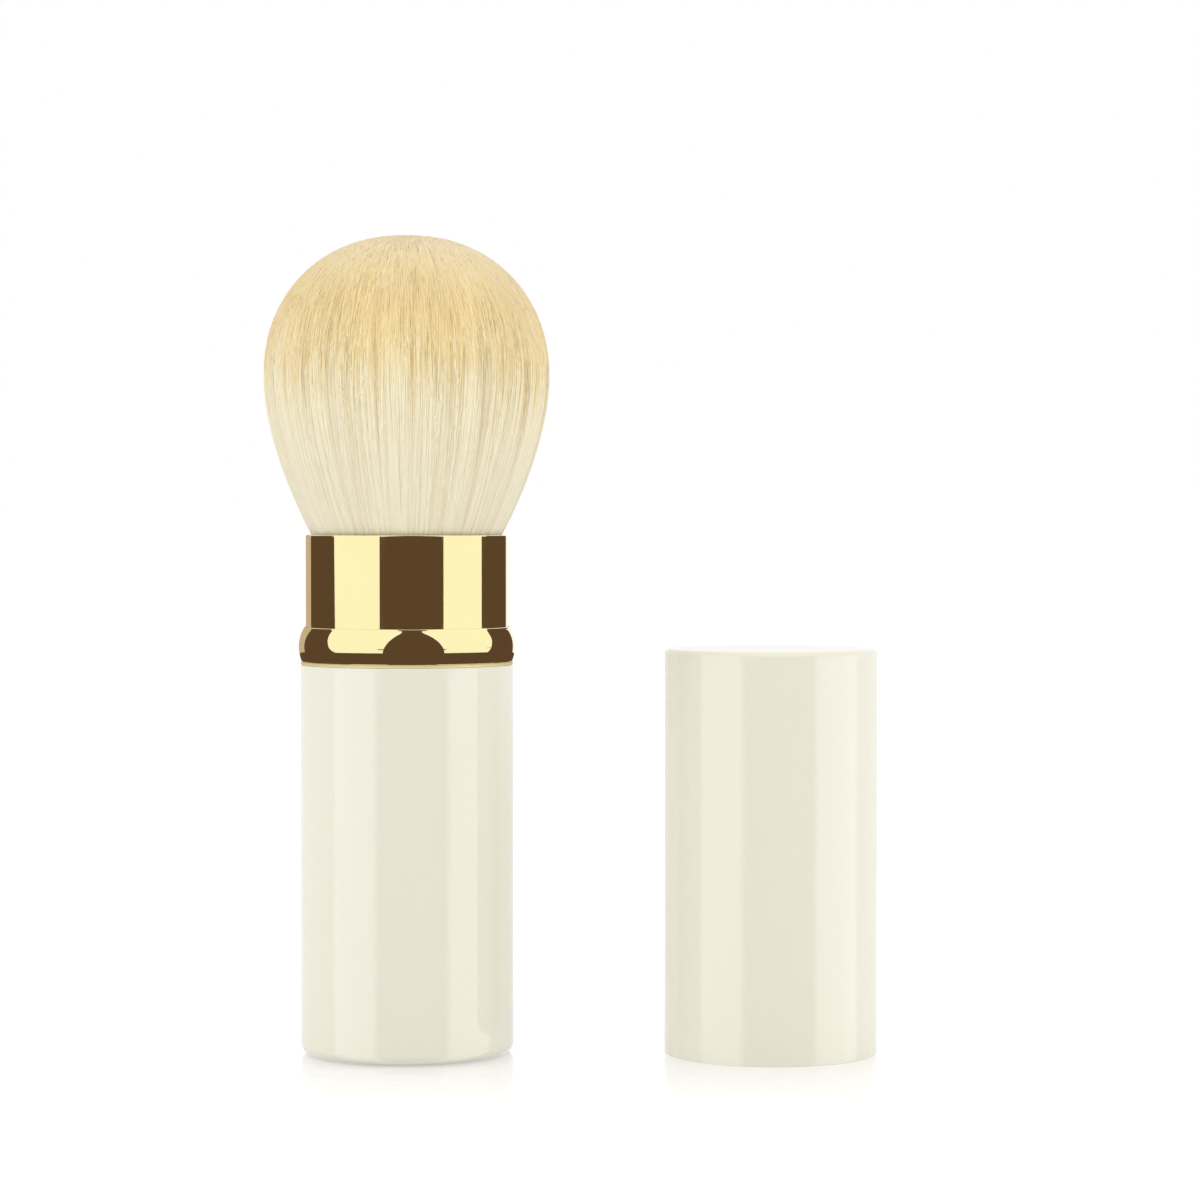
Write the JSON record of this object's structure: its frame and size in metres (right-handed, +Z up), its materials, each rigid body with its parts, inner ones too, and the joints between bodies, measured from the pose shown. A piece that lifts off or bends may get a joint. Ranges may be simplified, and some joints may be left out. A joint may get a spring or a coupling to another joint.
{
  "type": "retractable makeup brush",
  "caption": "Round powder brush with a sliding sleeve that covers its flared hair head, and a pull-off cap stood beside it.",
  "frame": {"origin": "centre of the handle's bottom face, on the brush's axis", "axes": "+Z up along the brush's axis, +X towards the cap that stands beside it"},
  "size_m": [0.0923, 0.043, 0.1229],
  "materials": {
    "lacquer": "gloss cream lacquer",
    "gold": "polished pale gold",
    "steel": "plain",
    "rubber": "matt silicone",
    "white_plastic": "moulded",
    "felt": "felt",
    "ferrule": "satin",
    "resin": "cast resin",
    "hair": "fine soft hair, golden above and ivory below"
  },
  "bodies": {
    "handle": {"base_shell": "lacquer", "core_post": "white_plastic", "balance_weight": "steel", "lower_bumper": "rubber", "upper_bumper": "rubber", "guide_liner": "white_plastic", "collar_insert": "gold", "collar_wiper": "felt", "collar_ring": "gold", "ferrule_cup": "ferrule", "ferrule_screw": "steel", "hair_plug": "resin", "bristles_centre": "hair", "bristles_inner": "hair", "bristles_middle": "hair", "bristles_outer": "hair"},
    "sleeve": {"sleeve_tube": "gold", "slider_ring": "white_plastic", "slider_o_ring": "rubber"},
    "cap": {"cap_shell": "lacquer", "cap_liner": "white_plastic", "cap_grip_ring": "white_plastic"}
  },
  "joints": [
    {"name": "sleeve_slide", "type": "slide", "parent": "handle", "child": "sleeve", "axis": [0, 0, 1], "range_m": [0, 0.045], "deforming": ["bristles_middle", "bristles_outer"]},
    {"name": "cap_lift", "type": "slide", "parent": "handle", "child": "cap", "axis": [0, 0, 1], "range_m": [0, 0.125]}
  ]
}
